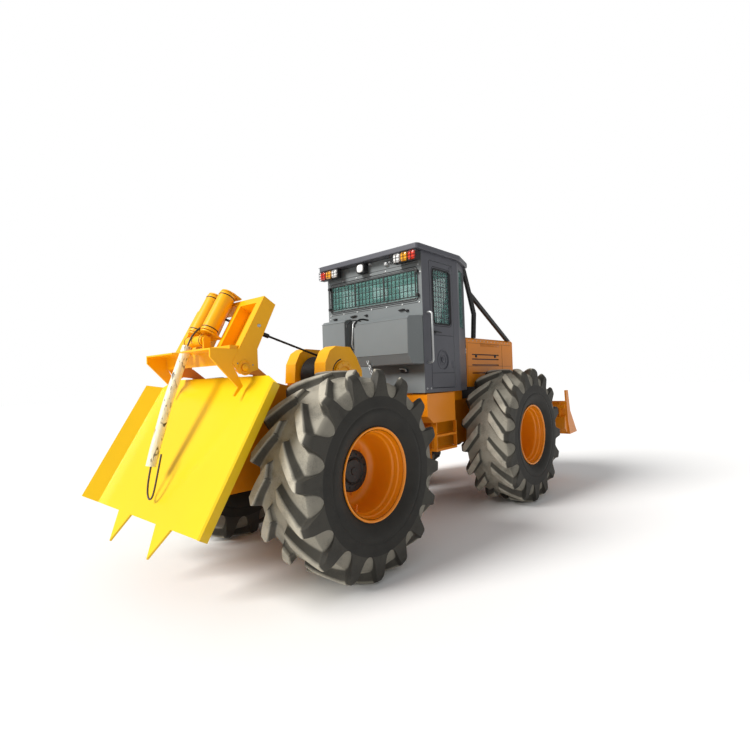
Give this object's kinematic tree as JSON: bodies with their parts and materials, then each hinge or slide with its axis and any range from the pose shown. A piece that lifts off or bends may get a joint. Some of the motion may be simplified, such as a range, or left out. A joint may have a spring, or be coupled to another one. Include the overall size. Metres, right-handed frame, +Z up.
{
  "type": "cable skidder",
  "caption": "Articulated four-wheel forestry cable skidder with a cab, a winch and line arch, a sloped rear butt plate and a front dozer blade.",
  "frame": {"origin": "on the ground, in the middle of the machine's length and width", "axes": "+X towards the blade at the front, +Y to the machine's left, +Z up"},
  "size_m": [5.7024, 2.373, 2.877],
  "materials": {
    "amber_paint": "satin",
    "axle_black": "satin",
    "black_paint": "satin",
    "cab_grey": "satin",
    "chromed_rod": "polished",
    "console_black": "matte",
    "engine_grey": "matte",
    "frame_dark": "satin",
    "lamp_red": "gloss",
    "orange_paint": "satin",
    "roof_grey": "satin",
    "seat_cloth": "matte",
    "tinted_glass": "clear",
    "tyre_rubber": "matte",
    "wheel_orange": "satin",
    "white_film": "satin",
    "wire_rope": "satin",
    "yellow_paint": "satin"
  },
  "bodies": {
    "front_body": {"cab_fittings": "console_black", "cab_glass": "tinted_glass", "cab_roof": "roof_grey", "cab_shell": "cab_grey", "engine_block": "engine_grey", "front_axle": "axle_black", "front_frame": "frame_dark", "grab_rails": "black_paint", "hood": "orange_paint", "ladders": "black_paint", "limb_risers": "black_paint", "radiator_grille": "black_paint", "rear_lamps": "lamp_red", "rear_lockers": "cab_grey", "rear_screen": "black_paint", "seat": "seat_cloth", "side_tanks": "orange_paint"},
    "rear_body": {"rear_frame": "frame_dark", "rear_axle": "axle_black", "winch_frame": "amber_paint", "main_line": "wire_rope", "butt_plate": "yellow_paint"},
    "winch_drum_body": {"winch_drum": "wire_rope"},
    "arch_body": {"arch": "amber_paint", "fairlead_frame": "amber_paint", "hanging_rope": "wire_rope", "rope_wrap": "white_film"},
    "roller_left_body": {"fairlead_roller_left": "yellow_paint"},
    "roller_right_body": {"fairlead_roller_right": "yellow_paint"},
    "roller_lower_body": {"fairlead_roller_lower": "yellow_paint"},
    "blade_body": {"blade": "orange_paint"},
    "blade_barrel_body": {"blade_barrels": "black_paint"},
    "blade_rod_body": {"blade_rods": "chromed_rod"},
    "door_left_body": {"door_left": "cab_grey", "door_glass_left": "tinted_glass"},
    "door_right_body": {"door_right": "cab_grey", "door_glass_right": "tinted_glass"},
    "wheel_rear_left_body": {"tyre_rear_left": "tyre_rubber", "rim_rear_left": "wheel_orange"},
    "wheel_rear_right_body": {"tyre_rear_right": "tyre_rubber", "rim_rear_right": "wheel_orange"},
    "wheel_front_left_body": {"tyre_front_left": "tyre_rubber", "rim_front_left": "wheel_orange"},
    "wheel_front_right_body": {"tyre_front_right": "tyre_rubber", "rim_front_right": "wheel_orange"},
    "steering_barrel_left_body": {"steering_barrel_left": "black_paint"},
    "steering_rod_left_body": {"steering_rod_left": "chromed_rod"},
    "steering_barrel_right_body": {"steering_barrel_right": "black_paint"},
    "steering_rod_right_body": {"steering_rod_right": "chromed_rod"}
  },
  "joints": [
    {"name": "articulation", "type": "hinge", "parent": "front_body", "child": "rear_body", "pos_m": [-0.28983, 0, 0.9], "axis": [0, 0, 1], "range_deg": [-40, 40]},
    {"name": "wheel_rear_left_spin", "type": "hinge", "parent": "rear_body", "child": "wheel_rear_left_body", "pos_m": [-1.48983, 0.893, 0.795], "axis": [0, 1, 0], "continuous": true},
    {"name": "wheel_rear_right_spin", "type": "hinge", "parent": "rear_body", "child": "wheel_rear_right_body", "pos_m": [-1.48983, -0.893, 0.795], "axis": [0, 1, 0], "continuous": true},
    {"name": "wheel_front_left_spin", "type": "hinge", "parent": "front_body", "child": "wheel_front_left_body", "pos_m": [1.36017, 0.893, 0.795], "axis": [0, 1, 0], "continuous": true},
    {"name": "wheel_front_right_spin", "type": "hinge", "parent": "front_body", "child": "wheel_front_right_body", "pos_m": [1.36017, -0.893, 0.795], "axis": [0, 1, 0], "continuous": true},
    {"name": "steering_left_swing", "type": "hinge", "parent": "front_body", "child": "steering_barrel_left_body", "pos_m": [0.26017, 0.33, 0.905], "axis": [0, 0, 1], "range_deg": [-10.82, 10.82]},
    {"name": "steering_left_stroke", "type": "slide", "parent": "steering_barrel_left_body", "child": "steering_rod_left_body", "axis": [-0.995, -0.0995, 0], "range_m": [-0.1881, 0.1881]},
    {"name": "steering_right_swing", "type": "hinge", "parent": "front_body", "child": "steering_barrel_right_body", "pos_m": [0.26017, -0.33, 0.905], "axis": [0, 0, 1], "range_deg": [-10.82, 10.82]},
    {"name": "steering_right_stroke", "type": "slide", "parent": "steering_barrel_right_body", "child": "steering_rod_right_body", "axis": [-0.995, 0.0995, 0], "range_m": [-0.1881, 0.1881]},
    {"name": "blade_lift", "type": "hinge", "parent": "front_body", "child": "blade_body", "pos_m": [1.56017, 0, 0.85], "axis": [0, -1, 0], "range_deg": [-33, 10]},
    {"name": "blade_barrel_swing", "type": "hinge", "parent": "front_body", "child": "blade_barrel_body", "pos_m": [2.01017, 0, 1.3], "axis": [0, -1, 0], "range_deg": [-8.32, 2.66]},
    {"name": "blade_rod_stroke", "type": "slide", "parent": "blade_barrel_body", "child": "blade_rod_body", "axis": [-0.0688, 0, -0.9976], "range_m": [-0.0697, 0.2279]},
    {"name": "door_left_swing", "type": "hinge", "parent": "front_body", "child": "door_left_body", "pos_m": [0.37917, 0.704, 2], "axis": [0, 0, -1], "range_deg": [0, 75]},
    {"name": "door_right_swing", "type": "hinge", "parent": "front_body", "child": "door_right_body", "pos_m": [0.37917, -0.704, 2], "axis": [0, 0, 1], "range_deg": [0, 75]},
    {"name": "arch_tilt", "type": "hinge", "parent": "rear_body", "child": "arch_body", "pos_m": [-2.18883, 0, 1.627], "axis": [0, 1, 0], "range_deg": [0, 12]},
    {"name": "roller_left_spin", "type": "hinge", "parent": "arch_body", "child": "roller_left_body", "pos_m": [-2.24683, 0.097, 1.904], "axis": [0.4964, 0, 0.8681], "continuous": true},
    {"name": "roller_right_spin", "type": "hinge", "parent": "arch_body", "child": "roller_right_body", "pos_m": [-2.24683, -0.097, 1.904], "axis": [0.4964, 0, 0.8681], "continuous": true},
    {"name": "roller_lower_spin", "type": "hinge", "parent": "arch_body", "child": "roller_lower_body", "pos_m": [-2.28983, 0, 1.852], "axis": [0, 1, 0], "continuous": true},
    {"name": "winch_drum_spin", "type": "hinge", "parent": "rear_body", "child": "winch_drum_body", "pos_m": [-0.95983, 0, 1.575], "axis": [0, 1, 0], "continuous": true}
  ],
  "couplings": [
    {"joint": "steering_left_swing", "follows": "articulation", "ratio": 0.26543},
    {"joint": "steering_left_stroke", "follows": "articulation", "m_per_rad": 0.26806},
    {"joint": "steering_right_swing", "follows": "articulation", "ratio": 0.26543},
    {"joint": "steering_right_stroke", "follows": "articulation", "m_per_rad": -0.26806},
    {"joint": "blade_barrel_swing", "follows": "blade_lift", "ratio": 0.24591},
    {"joint": "blade_rod_stroke", "follows": "blade_lift", "m_per_rad": -0.3939}
  ]
}
